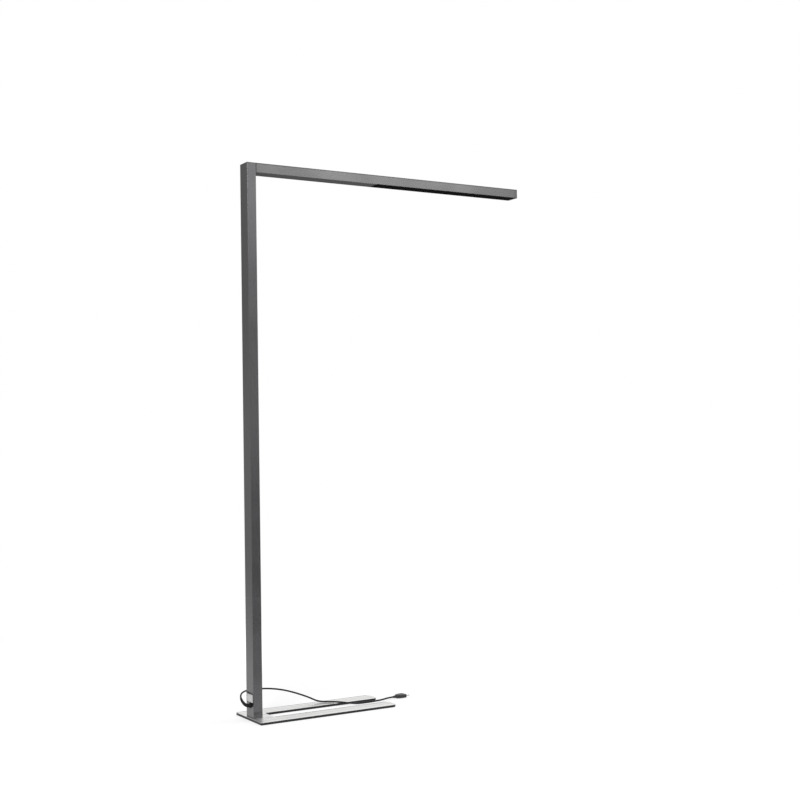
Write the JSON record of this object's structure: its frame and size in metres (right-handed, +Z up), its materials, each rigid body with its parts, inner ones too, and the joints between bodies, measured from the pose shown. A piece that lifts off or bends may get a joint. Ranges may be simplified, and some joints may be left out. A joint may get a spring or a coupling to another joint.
{
  "type": "floor lamp",
  "caption": "Slim office floor lamp: flat arm with a black louvre on a rectangular column, standing on a fork-shaped steel plate.",
  "frame": {"origin": "on the floor, under the column's axis", "axes": "+X along the arm, +Y across it and away from the side that shows, +Z up"},
  "size_m": [1.1941, 0.212, 1.95],
  "materials": {
    "anthracite": "anthracite, fine-grained satin anodising",
    "stainless": "light, brushed along the plate",
    "underlay_rubber": "black, dull",
    "bright_steel": "zinc plated",
    "black_steel": "black, matt",
    "black_plastic": "black, moulded",
    "louvre_black": "deep black, low glare",
    "opal": "opal white",
    "white_board": "white solder resist",
    "green_board": "green solder resist",
    "driver_case": "white, satin lacquer",
    "terminal_grey": "light grey nylon",
    "cord_black": "black, smooth",
    "lead_white": "white sheath",
    "rating_silver": "satin silver foil",
    "pin_brass": "nickel plated"
  },
  "bodies": {
    "lamp": {"base_plate": "stainless", "rubber_underlay": "underlay_rubber", "base_screws": "bright_steel", "column_profile": "anthracite", "column_top_cap": "anthracite", "arm_clamp_plate": "bright_steel", "arm_bolts": "bright_steel", "joint_shim": "black_plastic", "rating_plate": "rating_silver", "terminal_block": "terminal_grey", "mains_tail": "cord_black", "internal_lead": "lead_white", "button_bezel": "black_steel", "switch_board": "green_board", "switch_carrier": "terminal_grey", "arm_profile": "anthracite", "arm_connector": "bright_steel", "web_screws": "bright_steel", "arm_end_cap": "anthracite", "end_cap_screws": "bright_steel", "arm_lower_cover": "anthracite", "arm_upper_cover": "anthracite", "direct_louvre": "louvre_black", "direct_led_board": "white_board", "indirect_led_board": "white_board", "indirect_diffuser": "opal", "led_driver": "driver_case", "driver_screws": "bright_steel", "cord_gland": "black_plastic", "gland_locknut": "black_plastic", "cord_boot": "cord_black", "power_cord": "cord_black", "plug_body": "black_plastic", "plug_pins": "pin_brass"},
    "button": {"dimmer_button": "black_plastic", "switch_plunger": "black_plastic"}
  },
  "joints": [
    {"name": "button_push", "type": "slide", "parent": "lamp", "child": "button", "axis": [-1, 0, 0], "range_m": [0, 0.0008], "stiffness_N_per_m": 1500, "springref_m": -0.0005}
  ]
}
